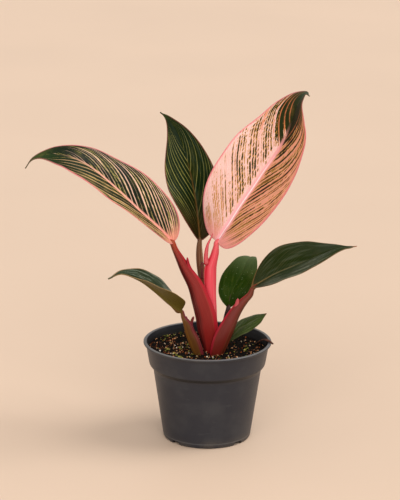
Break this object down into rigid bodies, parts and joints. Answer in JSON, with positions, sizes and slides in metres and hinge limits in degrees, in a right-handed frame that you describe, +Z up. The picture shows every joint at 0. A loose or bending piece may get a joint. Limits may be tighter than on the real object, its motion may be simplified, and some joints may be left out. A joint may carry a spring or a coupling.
{
  "type": "potted plant",
  "caption": "Variegated philodendron with pink-streaked and green leaves on red leaf stalks, growing from mix in a round charcoal nursery pot.",
  "frame": {"origin": "centre of the pot's flat underside, on the pot's axis", "axes": "+Z up, -Y toward the viewer of the plant's upper leaf faces, +X to that viewer's right"},
  "size_m": [0.3026, 0.129, 0.3292],
  "materials": {
    "pot": "fine matte, moulded, charcoal",
    "potting_mix": "rough, near black, with tan and white grit",
    "bark": "rough, reddish brown",
    "crown": "rough, fibrous",
    "petiole_red": "waxy satin, deep red",
    "petiole_brown": "waxy satin, dark brown",
    "petiole_pink": "waxy satin, hot pink",
    "petiole_olive": "waxy satin, olive brown",
    "petiole_russet": "waxy satin, brown red",
    "blade_striped": "satin, dark green with cream and pink streaks",
    "blade_veined": "satin, dark green with thin yellow veins",
    "blade_pink": "satin, pink with dark green flecks",
    "blade_folded": "satin, dark green above and olive below",
    "blade_dark": "glossy, dark green",
    "blade_satin": "satin, mid green"
  },
  "bodies": {
    "root": {"pot": "pot", "potting_mix": "potting_mix", "bark_sliver": "bark", "crown": "crown", "petiole_1": "petiole_red", "petiole_2": "petiole_brown", "petiole_3": "petiole_pink", "petiole_4": "petiole_olive", "petiole_5": "petiole_russet", "petiole_6": "petiole_brown", "petiole_7": "petiole_russet", "blade_1": "blade_striped", "blade_2": "blade_veined", "blade_3": "blade_pink", "blade_4": "blade_folded", "blade_5": "blade_dark", "blade_6": "blade_satin", "blade_7": "blade_dark"}
  },
  "joints": []
}
